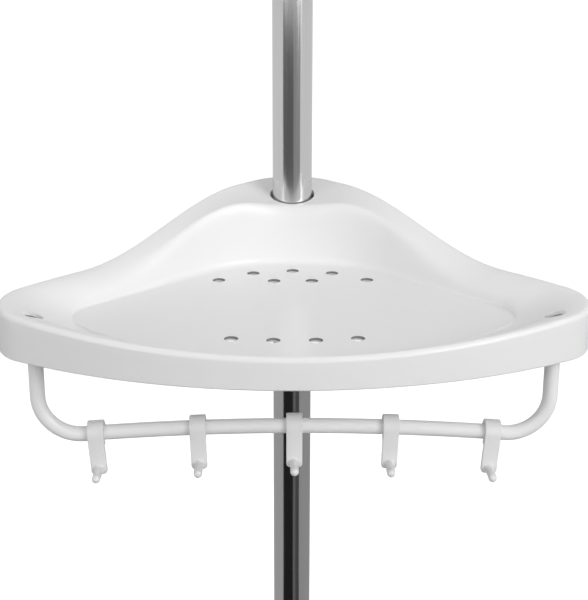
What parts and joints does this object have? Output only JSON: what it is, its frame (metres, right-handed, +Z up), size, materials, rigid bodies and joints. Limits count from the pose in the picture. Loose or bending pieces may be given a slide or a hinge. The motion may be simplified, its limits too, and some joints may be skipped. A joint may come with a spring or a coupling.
{
  "type": "corner shower caddy",
  "caption": "White corner tray with a hook rail below it, on a brushed steel spring tension pole with rubber ended cups.",
  "frame": {"origin": "on the pole's axis, in the underside of the foot pad", "axes": "+Z up along the pole, tray's front towards -Y, +X to the right seen from the front"},
  "size_m": [0.3278, 0.231, 0.64],
  "materials": {
    "tray_plastic": "glossy white, fine moulding ripple",
    "hook_plastic": "satin white",
    "rail_coating": "smooth white coating",
    "brushed_steel": "brushed round and polished lengthways",
    "pad_rubber": "matt grey",
    "zinc_steel": "zinc plated",
    "fitting_plastic": "satin white",
    "inner_plastic": "natural grey"
  },
  "bodies": {
    "pole": {"foot_pad": "pad_rubber", "foot_cup": "fitting_plastic", "lower_tube": "brushed_steel", "spring_seat": "inner_plastic", "lock_body": "fitting_plastic", "lock_collet": "inner_plastic", "tension_spring": "zinc_steel"},
    "upper_pole": {"upper_tube": "brushed_steel", "guide_plug": "inner_plastic", "ceiling_cup": "fitting_plastic", "ceiling_pad": "pad_rubber"},
    "lock_twist": {"lock_ring": "fitting_plastic"},
    "shelf_clamp": {"wedge_left": "inner_plastic", "wedge_right": "inner_plastic"},
    "shelf": {"tray": "tray_plastic", "hook_rail": "rail_coating", "rail_screws": "rail_coating", "rail_washers": "zinc_steel"},
    "hook_1": {"hook_1": "hook_plastic"},
    "hook_2": {"hook_2": "hook_plastic"},
    "hook_3": {"hook_3": "hook_plastic"},
    "hook_4": {"hook_4": "hook_plastic"},
    "hook_5": {"hook_5": "hook_plastic"}
  },
  "joints": [
    {"name": "pole_length", "type": "slide", "parent": "pole", "child": "upper_pole", "axis": [0, 0, 1], "range_m": [-0.03, 0.022], "stiffness_N_per_m": 600, "springref_m": 0.022, "deforming": ["tension_spring"]},
    {"name": "lock_turn", "type": "hinge", "parent": "pole", "child": "lock_twist", "pos_m": [0, 0, 0.5], "axis": [0, 0, 1], "range_deg": [0, 90]},
    {"name": "shelf_height", "type": "slide", "parent": "pole", "child": "shelf_clamp", "axis": [0, 0, 1], "range_m": [-0.15, 0.1]},
    {"name": "shelf_swing", "type": "hinge", "parent": "shelf_clamp", "child": "shelf", "pos_m": [0, 0, 0.31], "axis": [0, 0, 1], "range_deg": [-90, 90]},
    {"name": "hook_1_swing", "type": "hinge", "parent": "shelf", "child": "hook_1", "pos_m": [-0.1109, -0.1474, 0.24289], "axis": [0.9973, 0, 0.0739], "range_deg": [-80, 35]},
    {"name": "hook_2_swing", "type": "hinge", "parent": "shelf", "child": "hook_2", "pos_m": [-0.05399, -0.1474, 0.24603], "axis": [0.9994, 0, 0.036], "range_deg": [-80, 35]},
    {"name": "hook_3_swing", "type": "hinge", "parent": "shelf", "child": "hook_3", "pos_m": [0, -0.1474, 0.247], "axis": [1, 0, 0], "range_deg": [-80, 35]},
    {"name": "hook_4_swing", "type": "hinge", "parent": "shelf", "child": "hook_4", "pos_m": [0.05399, -0.1474, 0.24603], "axis": [0.9994, 0, -0.036], "range_deg": [-80, 35]},
    {"name": "hook_5_swing", "type": "hinge", "parent": "shelf", "child": "hook_5", "pos_m": [0.1109, -0.1474, 0.24289], "axis": [0.9973, 0, -0.0739], "range_deg": [-80, 35]}
  ]
}
